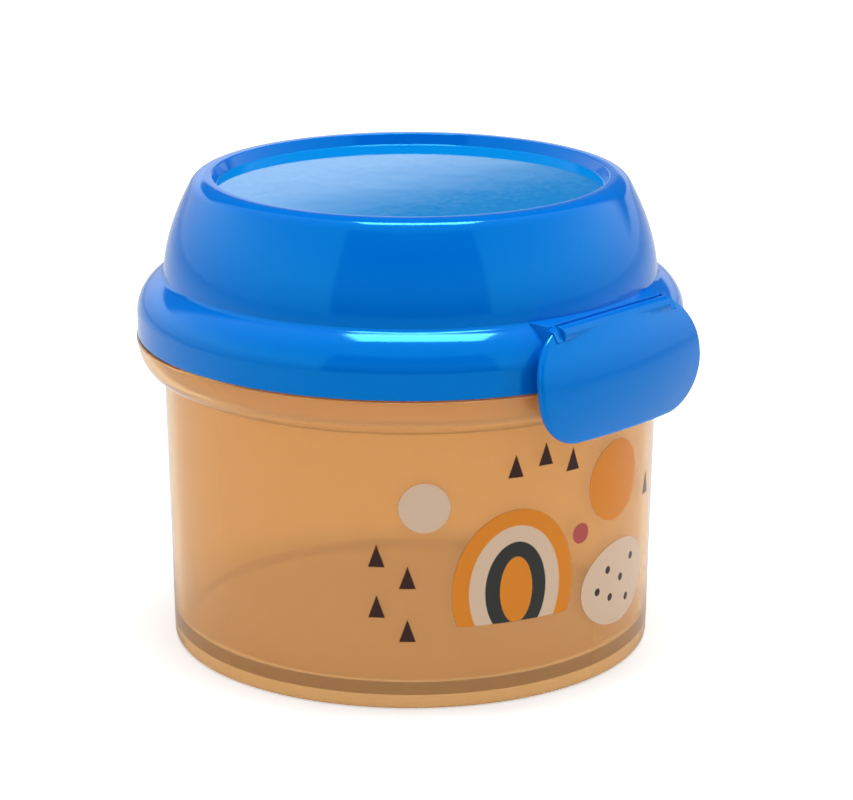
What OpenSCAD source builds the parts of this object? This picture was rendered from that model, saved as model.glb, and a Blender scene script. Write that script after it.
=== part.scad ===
// Toddler snack container: a round translucent cup with a domed flip lid.
// The lid turns on a hinge at the back and a clip at the front holds it shut.
// +Z is up, the clip faces -Y, and the origin is the centre of the foot where it stands.

/* [Cup] */
// Outer radius of the cup wall just under the shoulder
wall_r = 46; // [41:0.5:52]
// How much narrower the foot is than the wall under the shoulder
wall_draft = 1.1; // [0.5:0.1:2.5]
// Thickness of the cup wall
wall_t = 1.6; // [1.3:0.1:1.9]
// Height of the shoulder's top edge, where the lid meets the cup
seam_z = 58.7; // [45:0.1:85]
// Height of the flared shoulder
shoulder_h = 7.1; // [6.5:0.1:9]
// Step out from the wall to the shoulder's lower edge
shoulder_step = 0.8; // [0.4:0.1:1.2]
// Height of the mouth lip above the shoulder
lip_h = 5.3; // [4.8:0.1:5.8]
// Thickness of the mouth lip
lip_t = 1.5; // [1.3:0.1:1.6]
// Height of the inside floor above the table
floor_z = 4; // [3:0.1:6]
// Thickness of the floor
floor_t = 1.8; // [1.4:0.1:2.4]
// Width of the foot ring
foot_w = 2; // [1.8:0.1:3]
// Rounding of the foot's outer edge
foot_round = 1.2; // [0.6:0.1:1.6]
// Rounding between the inside floor and the wall
well_round = 3; // [2:0.1:6]

/* [Label] */
// Thickness of the printed label
label_t = 0.3; // [0.2:0.05:0.4]
// Angle that the label covers to each side of the front
label_angle = 62; // [50:1:75]
// Height of the label's lower edge
label_low_z = 7; // [5:0.5:12]
// Height of the shoulder above the label's upper edge
label_top_gap = 2.2; // [1:0.1:10]
// Corner radius of the label's outline
label_corner = 4; // [2:0.5:8]

/* [Lid] */
// How far the lid's rim stands out beyond the cup wall
rim_out = 5; // [4.5:0.1:5.8]
// Height of the rim from the seam to the crease under the dome
rim_h = 11.5; // [11:0.1:12.5]
// Height of the rim's upright band
rim_band_h = 4.8; // [4:0.1:5]
// How far the crease between rim and dome lies inside the rim
crease_in = 5.2; // [4.6:0.1:5.6]
// Height of the dome from the crease to the top ring
dome_h = 18.1; // [14:0.1:24]
// How much narrower the dome is at its top than at the crease
dome_lean = 5; // [4:0.1:7]
// Width of the rounded turn from the dome to the top ring
turn_w = 3; // [2:0.1:4.5]
// Width of the top ring
ring_w = 1.3; // [0.8:0.1:2]
// Depth of the recessed top panel
panel_depth = 2.1; // [1:0.1:3]
// Thickness of the lid wall
lid_t = 1.7; // [1.4:0.1:2]
// Depth of the plug below the top of the cup's lip
plug_depth = 3; // [2:0.1:3.5]
// Thickness of the plug wall
plug_t = 1.2; // [1:0.1:1.6]
// Height of the seal ring
seal_h = 2; // [1.6:0.1:2.4]
// Thickness of the rib outside the seal ring
rib_t = 1.2; // [1:0.1:1.4]
// Depth of that rib below the top of the cup's lip
rib_depth = 1.5; // [1:0.1:2]

/* [Lid hinge] */
// Radius of the hinge knuckle and ears
knuckle_r = 2.2; // [2:0.1:2.4]
// Radius of the moulded hinge pins
hinge_pin_r = 1.2; // [1:0.05:1.3]
// Length of the knuckle between the ears
knuckle_w = 13.4; // [10:0.2:16]
// Width of each ear
ear_w = 3.5; // [3:0.1:4]
// Height of the hinge axis below the top of the lip
hinge_drop = 1.5; // [1.3:0.1:1.8]
// Height above the shoulder's lower edge at which the ears grow out of it
ear_root = 3; // [2.6:0.1:3.4]
// How far the hinge axis stands outside the rim
hinge_out = 0.2; // [0.2:0.05:0.4]

/* [Clip] */
// Width of the clip
clip_w = 44.8; // [42:0.2:50]
// Height of the clip's lower edge below the seam
clip_below = 9.5; // [8.5:0.1:11]
// Height of the clip's rounded top above the seam
clip_above = 12.1; // [11.8:0.1:12.4]
// Height of the clip's fullest point below the seam
clip_belly = 1.5; // [1:0.1:2]
// How far the clip's face stands out beyond the rim
clip_out = 2.4; // [2.2:0.1:3]
// Thickness of the rim's wall behind the clip, where the rim is cut flat
front_t = 0.95; // [0.7:0.05:1.1]
// Depth of the flat across the cup's shoulder behind the clip
cup_flat = 1.8; // [1.6:0.1:2]
// Thickness of the clip
clip_t = 1.8; // [1.5:0.1:1.9]
// Radius of the clip's face across its width
clip_face_r = 109; // [100:1:130]
// Radius of the clip's face above its fullest point
clip_upper_r = 21.7; // [21:0.1:22.5]
// Radius of the clip's face below its fullest point
clip_lower_r = 27.3; // [26:0.1:32]
// Radius of the clip's upper corners
clip_top_corner = 11.5; // [10:0.1:12]
// Radius of the clip's lower corners
clip_low_corner = 10; // [8:0.1:12]
// Radius of the clip's hinge barrel
barrel_r = 1.6; // [1.5:0.05:1.7]
// Length of the hinge barrel
barrel_w = 29.7; // [26:0.1:31]
// Radius of the clip's hinge pins
clip_pin_r = 0.8; // [0.6:0.05:0.85]
// Width of the lugs that hold the clip's pins
lug_w = 1.7; // [1.5:0.1:2.8]
// Radius of the catch bead inside the clip
bead_r = 1; // [0.8:0.05:1.1]
// Height of the catch bead below the seam
bead_drop = 5.2; // [4.8:0.1:5.4]
// Length of the catch bead
bead_w = 18; // [10:1:24]
// How far the catch ledge stands out from the flat on the shoulder
catch_out = 1.4; // [1.2:0.05:1.5]

/* [Clearances] */
// Open seam between the lid's rim and the cup's shoulder
seam_gap = 0.2; // [0.15:0.05:0.3]
// Gap between the lip and the rib and wall outside it
lip_gap = 0.25; // [0.2:0.05:0.3]
// Gap between the lip and the plug inside it
plug_gap = 0.45; // [0.4:0.05:0.55]
// Gap on each side of the seal ring
seal_gap = 0.1; // [0.05:0.05:0.2]
// Gap between a hinge pin and its bore
pin_gap = 0.05; // [0.03:0.01:0.08]
// Gap between faces of the lid hinge that turn past each other
swing_gap = 0.3; // [0.2:0.05:0.35]
// Gap around the clip's barrel, half of it at each end
barrel_gap = 0.25; // [0.2:0.05:0.3]
// Gap between the catch bead and the catch ledge
catch_gap = 0.15; // [0.1:0.05:0.2]
// Gap around the label in its recess
label_gap = 0.03; // [0.02:0.01:0.05]

/* [Hidden] */
$fn = 180;
curve_steps = 14;
round_steps = 6;
over = 1; // how far a cutting shape runs past the face that it cuts

// Cup
foot_r = wall_r - wall_draft;
rim_r = wall_r + rim_out;
shoulder_z = seam_z - shoulder_h;
lip_z = seam_z + lip_h;
mouth_r = wall_r - wall_t;
lip_r = mouth_r + lip_t;
lip_round = 0.4;
foot_in_r = foot_r - foot_w;
shoulder_t = 1.6;
channel_z = shoulder_z + shoulder_t + lip_round; // bottom of the groove behind the shoulder
shoulder_pull = [0.5, 1.6]; // how far the shoulder curve's control point lies inside and up

// Label
label_h = shoulder_z - label_top_gap - label_low_z;

// Lid
lid_low_z = seam_z + seam_gap;
crease_z = seam_z + rim_h;
crease_r = rim_r - crease_in;
dome_turn_r = crease_r - dome_lean;
ring_r = dome_turn_r - turn_w;
top_z = crease_z + dome_h;
panel_z = top_z - panel_depth;
ceiling_z = panel_z - lid_t;
plug_r = mouth_r - plug_gap;
plug_in_r = plug_r - plug_t;
seal_room_r = lip_r + lip_gap;
seal_roof_z = lip_z + seal_h;
rib_r = seal_room_r + rib_t;
rib_low_z = lip_z - rib_depth;
edge_round = 0.5;
rim_pull = [0.4, 2.6]; // how far the rim curve's control point lies inside and down
turn_drop = 1.9; // height of the rounded turn from dome to top ring
turn_pull = 1; // how far the turn's control point lies inside its start
dome_swell = 0.3; // how far the dome's control point lies inside the crease radius
dome_lift = 7.4; // height of the dome's control point above the crease
ceiling_round = 4;
panel_draft = 0.6;

// Lid hinge, on an axis along X at the back
hinge_y = rim_r + hinge_out;
hinge_z = lip_z - hinge_drop;
ear_in_x = knuckle_w / 2 + swing_gap;
ear_out_x = ear_in_x + ear_w;
ear_root_z = shoulder_z + ear_root;

// Clip, modelled facing +Y and turned to the front
face_y = rim_r + clip_out;
belly_z = seam_z - clip_belly;
face_axis_y = face_y - clip_face_r;
flat_y = seal_room_r + front_t; // flat cut across the rim behind the clip
barrel_half = barrel_w / 2;
lug_in = barrel_half + barrel_gap / 2;
lug_out = lug_in + lug_w;
lug_inset = 0.1; // how far the lugs lie inside the barrel's outline
lug_foot = 2.4; // height of the lugs' foot below the pivot
ledge_z = crease_z + 0.3; // flat top of the block that carries the lugs
pivot_z = ledge_z - barrel_r - 0.2; // the barrel lies just under the ledge
pivot_lean = 32; // slope of the clip's face where it meets the barrel
pivot_face_z = pivot_z + barrel_r * sin(pivot_lean);
face_upper_y = face_y - clip_upper_r; // centre of the face's upper arc
pivot_y = face_upper_y + sqrt(pow(clip_upper_r, 2) - pow(pivot_face_z - belly_z, 2))
  - barrel_r * cos(pivot_lean) - lug_inset / 2;
ledge_y = flat_y - lug_inset; // front edge of the ledge above the barrel
lug_r = barrel_r - lug_inset;
bead_z = seam_z - bead_drop;
cup_flat_y = rim_r - cup_flat; // flat cut across the shoulder behind the clip
catch_y = cup_flat_y + catch_out; // nose of the catch ledge on that flat
catch_low_z = bead_z + bead_r + catch_gap;
catch_w = bead_w - 2; // the ledge is a little shorter than the bead
catch_nose = 0.8; // height of the ledge's upright nose

// Points on a curve from a to c that leans towards b
function curve(a, b, c, n = curve_steps) =
  [for (i = [0:n]) let (t = i / n) a * pow(1 - t, 2) + 2 * b * t * (1 - t) + c * t * t];
// Points on a round corner about a centre, from one angle to another
function corner(centre, r, from, to, n = round_steps) =
  [for (i = [0:n]) let (a = from + (to - from) * i / n) centre + r * [cos(a), sin(a)]];
// A path moved sideways, to its left, by the distance d
function shifted(path, d) =
  [for (i = [0:len(path) - 1])
    let (step = path[min(i + 1, len(path) - 1)] - path[max(i - 1, 0)])
      path[i] + d * [-step.y, step.x] / norm(step)];
// Outer radius of the cup wall at a height
function wall_at(z) = foot_r + (wall_r - foot_r) * (z - foot_round) / (shoulder_z - foot_round);
// Angle that a length covers on the cup wall
function degrees_on_wall(length) = length / wall_r * 180 / PI;

shoulder_curve = curve([wall_r + shoulder_step, shoulder_z],
  [rim_r - shoulder_pull.x, shoulder_z + shoulder_pull.y], [rim_r, seam_z]);
rim_curve = curve([rim_r, seam_z + rim_band_h],
  [rim_r - rim_pull.x, crease_z - rim_pull.y], [crease_r, crease_z]);
dome_curve = curve([crease_r, crease_z], [crease_r - dome_swell, crease_z + dome_lift],
  [dome_turn_r, top_z - turn_drop]);
turn_curve = curve([dome_turn_r, top_z - turn_drop], [dome_turn_r - turn_pull, top_z],
  [ring_r, top_z], round_steps);

module turned(path) {
  rotate_extrude() polygon(path);
}

// Places what is modelled facing +Y at the front of the container
module at_front() {
  rotate([0, 0, 180]) children();
}

// A round bar along X about the lid's hinge axis, from one x to another
module hinge_bar(r, from, to) {
  translate([from, hinge_y, hinge_z]) rotate([0, 90, 0]) cylinder(r = r, h = to - from);
}

// A round bar along X about the clip's pivot
module pivot_bar(r, from, to) {
  translate([from, pivot_y, pivot_z]) rotate([0, 90, 0]) cylinder(r = r, h = to - from);
}

// Both ends of something that stands at each side of the middle
module both_sides() {
  children();
  mirror([1, 0, 0]) children();
}

// A flat outline in Y and Z, made into a plate from one x to another
module side_plate(from, to) {
  translate([from, 0, 0]) rotate([90, 0, 90]) linear_extrude(to - from) children();
}

module box_between(low, high) {
  translate(low) cube(high - low);
}

// ---- Cup -------------------------------------------------------------------

module cup_body() {
  turned(concat(
    [[0, floor_z - floor_t], [foot_in_r, floor_z - floor_t], [foot_in_r, 0]],
    corner([foot_r - foot_round, foot_round], foot_round, -90, 0),
    [[wall_r, shoulder_z]],
    shoulder_curve,
    [[rim_r - shoulder_t, seam_z], [lip_r, seam_z]],
    corner([lip_r - lip_round, lip_z - lip_round], lip_round, 0, 90),
    corner([mouth_r + lip_round, lip_z - lip_round], lip_round, 90, 180),
    [[mouth_r, shoulder_z]],
    corner([wall_at(floor_z + well_round) - wall_t - well_round, floor_z + well_round],
      well_round, 0, -90),
    [[0, floor_z]]
  ));
}

// Groove between the lip and the shoulder wall, open at the top
module cup_channel() {
  inner = shifted(shoulder_curve, shoulder_t);
  kept = [for (p = inner) if (p.y > channel_z && p.y < seam_z && p.x > lip_r + over) p];
  difference() {
    turned(concat(
      [[lip_r, channel_z], [kept[0].x, channel_z]],
      kept,
      [[rim_r - shoulder_t, seam_z], [rim_r - shoulder_t, seam_z + over],
        [lip_r, seam_z + over]]
    ));
    at_front() box_between([-rim_r, cup_flat_y - shoulder_t, 0], [rim_r, 2 * rim_r, seam_z + 2 * over]);
  }
}

// Sheet that follows the cup wall over the label's outline, drawn in by a gap all round
module label_sheet(depth, proud, gap) {
  low = label_low_z + gap;
  high = label_low_z + label_h - gap;
  half = label_angle - degrees_on_wall(gap);
  corner_half = label_angle - degrees_on_wall(label_corner);
  at_front() difference() {
    rotate([0, 0, 90 - half]) rotate_extrude(angle = 2 * half) polygon([
      [wall_at(low) - depth, low], [wall_at(low) + proud, low],
      [wall_at(high) + proud, high], [wall_at(high) - depth, high]
    ]);
    for (side = [-1, 1], end = [-1, 1])
      rotate([0, 0, 90 - side * corner_half])
        translate([0, 0, label_low_z + label_h / 2 + end * (label_h / 2 - label_corner)])
        rotate([90, 0, 90]) linear_extrude(rim_r)
        difference() {
          translate([-side > 0 ? 0 : -label_corner - over, end > 0 ? 0 : -label_corner - over])
            square(label_corner + over);
          circle(r = label_corner - gap);
        }
  }
}

// Ear of the lid hinge: a round eye on a foot that grows out of the shoulder
module hinge_ear() {
  back_y = hinge_y + knuckle_r;
  side_plate(ear_in_x, ear_out_x) {
    translate([hinge_y, hinge_z]) circle(r = knuckle_r);
    polygon([[hinge_y - knuckle_r, hinge_z], [hinge_y - knuckle_r, ear_root_z],
      [back_y, seam_z], [back_y, hinge_z]]);
  }
}

// Catch ledge that the clip's bead snaps under, with a sloped top
module catch_ledge() {
  side_plate(-catch_w / 2, catch_w / 2) polygon([
    [cup_flat_y - over, catch_low_z], [catch_y, catch_low_z],
    [catch_y, catch_low_z + catch_nose], [cup_flat_y - over, seam_z - lip_round]
  ]);
}

module cup() {
  color([0.84, 0.55, 0.32, 0.75]) difference() {
    union() {
      difference() {
        cup_body();
        at_front() box_between([-rim_r, cup_flat_y, shoulder_z - over],
          [rim_r, 2 * rim_r, seam_z + over]);
      }
      at_front() catch_ledge();
      both_sides() hinge_ear();
    }
    cup_channel();
    label_sheet(label_t, over, 0);
    both_sides() hinge_bar(hinge_pin_r + pin_gap, ear_in_x - over, ear_out_x + over);
  }
}

module front_label() {
  color([0.95, 0.7, 0.35]) label_sheet(label_t - label_gap, 0, label_gap);
}

// ---- Lid -------------------------------------------------------------------

module lid_outside() {
  turned(concat(
    [[0, lid_low_z]],
    corner([rim_r - edge_round, lid_low_z + edge_round], edge_round, -90, 0),
    rim_curve, dome_curve, turn_curve,
    [[ring_r - ring_w, top_z], [ring_r - ring_w - panel_draft, panel_z], [0, panel_z]]
  ));
}

// Everything inside the lid: dome room, seal groove and the hollow of the rim
module lid_inside() {
  dome_inner = [for (p = shifted(dome_curve, lid_t)) if (p.y < ceiling_z - ceiling_round / 2)
    [min(p.x, plug_in_r), p.y]];
  last = dome_inner[len(dome_inner) - 1];
  plug_low_z = lip_z - plug_depth;
  turned(concat(
    [[0, lid_low_z - over], [plug_in_r, lid_low_z - over]],
    dome_inner,
    curve(last, [last.x - panel_draft, ceiling_z], [last.x - ceiling_round, ceiling_z], round_steps),
    [[0, ceiling_z]]
  ));
  turned([[plug_in_r - over, lid_low_z - over], [seal_room_r, lid_low_z - over],
    [seal_room_r, plug_low_z], [plug_in_r - over, plug_low_z]]);
  turned([[plug_r, plug_low_z - over], [seal_room_r, plug_low_z - over],
    [seal_room_r, seal_roof_z], [plug_r, seal_roof_z]]);
  rim_hollow();
}

// Hollow between the seal rib and the rim's wall, filled behind the clip and above the ears
module rim_hollow() {
  roof = [for (p = shifted(rim_curve, lid_t)) if (p.x > rib_r && p.y < crease_z - lid_t) p];
  difference() {
    union() {
      turned(concat(
        [[rib_r, lid_low_z - over], [rim_r - lid_t, lid_low_z - over]],
        roof,
        [[rib_r, roof[len(roof) - 1].y]]
      ));
      turned([[seal_room_r - over, lid_low_z - over], [rib_r + over, lid_low_z - over],
        [rib_r + over, rib_low_z], [seal_room_r - over, rib_low_z]]);
    }
    at_front() box_between([-rim_r, seal_room_r, 0], [rim_r, 2 * rim_r, top_z]);
    box_between([-ear_out_x - lid_t, 0, hinge_z], [ear_out_x + lid_t, rim_r, top_z]);
  }
}

// Block on the rim that carries the clip: a flat ledge with a lug at each end
module clip_seat() {
  both_sides() side_plate(lug_in, lug_out) {
    translate([pivot_y, pivot_z]) circle(r = lug_r);
    polygon([[flat_y - over, pivot_z - lug_foot], [pivot_y, pivot_z - lug_r],
      [pivot_y, pivot_z + lug_r], [ledge_y, ledge_z], [flat_y - over, ledge_z]]);
  }
  box_between([-lug_out, plug_in_r - over, pivot_z - lug_foot], [lug_out, ledge_y, ledge_z]);
}

// Room for the clip's barrel and for the root of its plate as it swings up
module clip_room() {
  pivot_bar(barrel_r + barrel_gap, -lug_in, lug_in);
  box_between([-lug_in, ledge_y, pivot_z], [lug_in, 2 * rim_r, top_z]);
  box_between([-lug_in, flat_y, 0], [lug_in, 2 * rim_r, pivot_z]);
  both_sides() pivot_bar(clip_pin_r + pin_gap, lug_in - over, lug_out + over);
}

// Knuckle that the lid turns on, with a moulded pin at each end
module lid_knuckle() {
  half = knuckle_w / 2;
  hinge_bar(knuckle_r, -half, half);
  hinge_bar(hinge_pin_r, -ear_out_x + swing_gap, ear_out_x - swing_gap);
  box_between([-half, rim_r - lid_t, hinge_z - knuckle_r],
    [half, hinge_y, hinge_z + knuckle_r]);
}

// Slots in the rim that the ears stand in, closed above by a round seat
module ear_slots() {
  from = ear_in_x - swing_gap;
  to = ear_out_x + swing_gap;
  both_sides() {
    hinge_bar(knuckle_r + swing_gap, from, to);
    box_between([from, rim_r - 2 * lid_t, lid_low_z - over], [to, 2 * rim_r, hinge_z]);
  }
}

module lid() {
  color([0, 0.47, 0.84]) {
    difference() {
      union() {
        difference() {
          lid_outside();
          at_front() box_between([-rim_r, flat_y, lid_low_z - over], [rim_r, 2 * rim_r, crease_z + over]);
        }
        at_front() clip_seat();
      }
      lid_inside();
      at_front() clip_room();
      ear_slots();
    }
    lid_knuckle();
  }
}

module seal_ring() {
  inner_r = plug_r + seal_gap;
  outer_r = seal_room_r - seal_gap;
  color([0.93, 0.94, 0.95]) turned([
    [inner_r, lip_z], [outer_r, lip_z], [outer_r, seal_roof_z], [inner_r, seal_roof_z]
  ]);
}

// ---- Clip ------------------------------------------------------------------

// Section through the clip's curved face, as radius from the axis of its width curve
module clip_section(inset) {
  mid = clip_face_r;
  intersection() {
    translate([mid - clip_upper_r, belly_z]) circle(r = clip_upper_r - inset);
    translate([0, belly_z]) square([2 * mid, clip_upper_r]);
  }
  intersection() {
    translate([mid - clip_lower_r, belly_z]) circle(r = clip_lower_r - inset);
    translate([0, belly_z - clip_lower_r]) square([2 * mid, clip_lower_r]);
  }
}

module clip_plate() {
  sweep = 2 * asin(clip_w / 2 / (clip_face_r - clip_upper_r)) + 4;
  intersection() {
    translate([0, face_axis_y, 0]) rotate([0, 0, 90 - sweep / 2])
      rotate_extrude(angle = sweep) intersection() {
        difference() {
          clip_section(0);
          clip_section(clip_t);
        }
        translate([clip_face_r - clip_upper_r / 2, 0]) square([clip_upper_r, 2 * top_z]);
      }
    clip_outline();
  }
}

// Front outline of the clip, as a prism through the plate
module clip_outline() {
  low_z = seam_z - clip_below;
  high_z = seam_z + clip_above;
  half = clip_w / 2;
  low_c = [half - clip_low_corner, low_z + clip_low_corner];
  top_c = [half - clip_top_corner, high_z - clip_top_corner];
  translate([0, face_y + over, 0]) rotate([90, 0, 0]) linear_extrude(clip_upper_r) {
    both_sides() {
      intersection() {
        translate(low_c) circle(r = clip_low_corner);
        translate([0, low_z]) square([half, clip_low_corner]);
      }
      intersection() {
        translate(top_c) circle(r = clip_top_corner);
        translate(top_c) translate([-top_c.x, 0]) square([half, clip_top_corner]);
      }
      translate([0, low_z]) square([low_c.x, high_z - low_z]);
      translate([0, low_c.y]) square([half, top_c.y - low_c.y]);
    }
  }
}

module clip() {
  root_z = pivot_z - barrel_r - 2 * barrel_gap; // above this the plate is cut back to the pivot
  end_in = lug_in - barrel_gap / 2;
  bead_y = catch_y + catch_gap + bead_r;
  color([0, 0.47, 0.84]) at_front() {
    difference() {
      clip_plate();
      box_between([-clip_w, 0, root_z], [clip_w, pivot_y, top_z]);
      box_between([-clip_w, 0, pivot_face_z], [clip_w, 2 * rim_r, top_z]);
      both_sides() {
        pivot_bar(lug_r + barrel_gap, end_in, lug_out + barrel_gap);
        box_between([end_in, 0, pivot_z], [clip_w, 2 * rim_r, top_z]);
      }
    }
    pivot_bar(barrel_r, -barrel_half, barrel_half);
    pivot_bar(clip_pin_r, -lug_out + pin_gap, lug_out - pin_gap);
    translate([-bead_w / 2, bead_y, bead_z]) rotate([0, 90, 0]) cylinder(r = bead_r, h = bead_w);
  }
}

cup();
front_label();
lid();
seal_ring();
clip();
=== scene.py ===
import bpy
import math
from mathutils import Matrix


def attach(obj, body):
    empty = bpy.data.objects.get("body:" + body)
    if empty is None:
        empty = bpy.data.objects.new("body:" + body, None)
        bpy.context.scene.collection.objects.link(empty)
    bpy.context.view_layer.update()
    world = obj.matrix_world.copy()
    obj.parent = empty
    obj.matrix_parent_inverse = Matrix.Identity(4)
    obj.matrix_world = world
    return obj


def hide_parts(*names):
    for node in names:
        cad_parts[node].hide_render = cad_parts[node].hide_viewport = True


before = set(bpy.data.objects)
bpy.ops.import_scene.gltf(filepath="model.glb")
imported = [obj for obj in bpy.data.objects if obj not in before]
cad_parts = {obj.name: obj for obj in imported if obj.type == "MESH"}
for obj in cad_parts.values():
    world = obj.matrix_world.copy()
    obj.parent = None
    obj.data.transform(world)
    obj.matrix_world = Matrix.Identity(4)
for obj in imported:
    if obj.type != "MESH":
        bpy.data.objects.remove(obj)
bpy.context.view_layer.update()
MM = 0.001


# ---- Camera ----------------------------------------------------------------
# A long lens a little above the container, with the snap clip turned to the right.
# The container's axis lies a little left of the middle of the picture.

camera_away = 585.2 * MM
camera_height = 212.8 * MM
camera_turn = math.radians(-47.8)
camera_pitch = math.radians(16.03)

bpy.ops.object.camera_add(
    location=(camera_away * math.sin(camera_turn), -camera_away * math.cos(camera_turn),
              camera_height),
    rotation=(math.pi / 2 - camera_pitch, 0, camera_turn))
camera = bpy.context.object
camera.data.lens = 136.7
camera.data.sensor_width = 36
camera.data.sensor_fit = "HORIZONTAL"
camera.data.shift_x = 0.0188
camera.data.clip_start = 0.01
camera.data.clip_end = 50
bpy.context.scene.camera = camera


# ---- Cup -------------------------------------------------------------------
# The translucent orange cup: an almost straight wall on a foot ring, a flared
# shoulder under the lid's rim and a thin lip inside it. Injection moulded
# polypropylene, 1.6 mm thick, polished outside and finely matt inside.

turn_steps = 256  # segments round the axis of everything turned
bar_steps = 64  # segments round a bar
edge_steps = 3  # segments across a softened edge
weld = 0.0005  # mm within which the points of a turned piece are one
sliver = 0.001  # mm below which an edge that a cut leaves is dissolved


def curve(a, b, c, n=16):
    """Points from a to c that lean towards b."""
    rows = []
    for i in range(n + 1):
        t = i / n
        rows.append(tuple(p * (1 - t) ** 2 + 2 * q * t * (1 - t) + r * t * t
                          for p, q, r in zip(a, b, c)))
    return rows


def corner(centre, r, start, end, n=6):
    """Points on a round corner about a centre, from one angle in degrees to another."""
    rows = []
    for i in range(n + 1):
        angle = math.radians(start + (end - start) * i / n)
        rows.append((centre[0] + r * math.cos(angle), centre[1] + r * math.sin(angle)))
    return rows


def moved_in(path, d):
    """The path moved sideways, to its left, by the distance d."""
    rows = []
    for i, (x, y) in enumerate(path):
        ax, ay = path[max(i - 1, 0)]
        bx, by = path[min(i + 1, len(path) - 1)]
        length = math.hypot(bx - ax, by - ay)
        rows.append((x - d * (by - ay) / length, y + d * (bx - ax) / length))
    return rows


def lathe(name, profile, closed=False):
    """Spins a profile of (radius, height) in mm round the container's axis."""
    bpy.ops.object.select_all(action="DESELECT")
    bpy.ops.mesh.primitive_circle_add(vertices=len(profile), radius=MM)
    piece = bpy.context.object
    piece.name = name
    for vertex, (radius, height) in zip(piece.data.vertices, profile):
        vertex.co = (radius * MM, 0, height * MM)
    bpy.ops.object.mode_set(mode="EDIT")
    bpy.ops.mesh.select_mode(type="EDGE")
    bpy.ops.mesh.select_all(action="DESELECT")
    if not closed:
        bpy.ops.object.mode_set(mode="OBJECT")
        for edge in piece.data.edges:
            edge.select = sorted(edge.vertices) == [0, len(profile) - 1]
        bpy.ops.object.mode_set(mode="EDIT")
        bpy.ops.mesh.delete(type="EDGE")
    bpy.ops.mesh.select_all(action="SELECT")
    bpy.ops.mesh.spin(steps=turn_steps, angle=2 * math.pi, center=(0, 0, 0), axis=(0, 0, 1))
    bpy.ops.mesh.select_all(action="SELECT")
    bpy.ops.mesh.remove_doubles(threshold=weld * MM)
    if not closed:
        bpy.ops.mesh.select_all(action="DESELECT")
        bpy.ops.mesh.select_non_manifold()
        bpy.ops.mesh.edge_face_add()
    bpy.ops.mesh.select_all(action="SELECT")
    bpy.ops.mesh.normals_make_consistent(inside=False)
    bpy.ops.object.mode_set(mode="OBJECT")
    return piece


def block(name, low, high, soften=0):
    """A block between two corners in mm, with its edges rounded by a small radius."""
    bpy.ops.object.select_all(action="DESELECT")
    middle = [(a + b) / 2 * MM for a, b in zip(low, high)]
    bpy.ops.mesh.primitive_cube_add(size=1, location=middle)
    piece = bpy.context.object
    piece.name = name
    piece.scale = [abs(b - a) * MM for a, b in zip(low, high)]
    bpy.ops.object.transform_apply()
    if soften:
        bpy.ops.object.mode_set(mode="EDIT")
        bpy.ops.mesh.select_all(action="SELECT")
        bpy.ops.mesh.bevel(offset=soften * MM, segments=edge_steps)
        bpy.ops.object.mode_set(mode="OBJECT")
    return piece


def soften_ends(piece, soften):
    """Rounds the rims of the two faces that look along X."""
    if not soften:
        return
    bpy.ops.object.mode_set(mode="EDIT")
    bpy.ops.mesh.select_mode(type="FACE")
    bpy.ops.mesh.select_all(action="DESELECT")
    bpy.ops.object.mode_set(mode="OBJECT")
    for face in piece.data.polygons:
        face.select = abs(face.normal.x) > 0.99
    bpy.ops.object.mode_set(mode="EDIT")
    bpy.ops.mesh.region_to_loop()
    bpy.ops.mesh.bevel(offset=soften * MM, segments=edge_steps)
    bpy.ops.object.mode_set(mode="OBJECT")


def bar(name, r, start, end, y, z, soften=0):
    """A round bar along X, in mm, with its end edges rounded."""
    bpy.ops.object.select_all(action="DESELECT")
    bpy.ops.mesh.primitive_cylinder_add(
        vertices=bar_steps, radius=r * MM, depth=(end - start) * MM,
        location=((start + end) / 2 * MM, y * MM, z * MM), rotation=(0, math.pi / 2, 0))
    piece = bpy.context.object
    piece.name = name
    bpy.ops.object.transform_apply()
    soften_ends(piece, soften)
    return piece


def carve(piece, tool, how):
    """Cuts, joins or keeps what a second piece covers of a piece, then deletes the second."""
    bpy.ops.object.select_all(action="DESELECT")
    bpy.context.view_layer.objects.active = piece
    piece.select_set(True)
    work = piece.modifiers.new("carve", "BOOLEAN")
    work.operation = how
    work.solver = "EXACT"
    work.object = tool
    bpy.ops.object.modifier_apply(modifier=work.name)
    bpy.ops.object.mode_set(mode="EDIT")
    bpy.ops.mesh.select_all(action="SELECT")
    bpy.ops.mesh.dissolve_degenerate(threshold=sliver * MM)
    bpy.ops.object.mode_set(mode="OBJECT")
    bpy.data.objects.remove(tool)


def plate(name, start, end, outline, soften=0):
    """A flat plate from one x to another, in mm, with an outline of (y, z)."""
    bpy.ops.object.select_all(action="DESELECT")
    bpy.ops.mesh.primitive_circle_add(
        vertices=len(outline), radius=MM, fill_type="NGON", location=(start * MM, 0, 0),
        rotation=(math.pi / 2, 0, math.pi / 2))
    piece = bpy.context.object
    piece.name = name
    bpy.ops.object.transform_apply()
    for vertex, (y, z) in zip(piece.data.vertices, outline):
        vertex.co = (start * MM, y * MM, z * MM)
    bpy.ops.object.mode_set(mode="EDIT")
    bpy.ops.mesh.select_all(action="SELECT")
    bpy.ops.mesh.extrude_region_move(
        TRANSFORM_OT_translate={"value": ((end - start) * MM, 0, 0)})
    bpy.ops.mesh.select_all(action="SELECT")
    bpy.ops.mesh.normals_make_consistent(inside=False)
    bpy.ops.object.mode_set(mode="OBJECT")
    soften_ends(piece, soften)
    return piece


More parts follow.
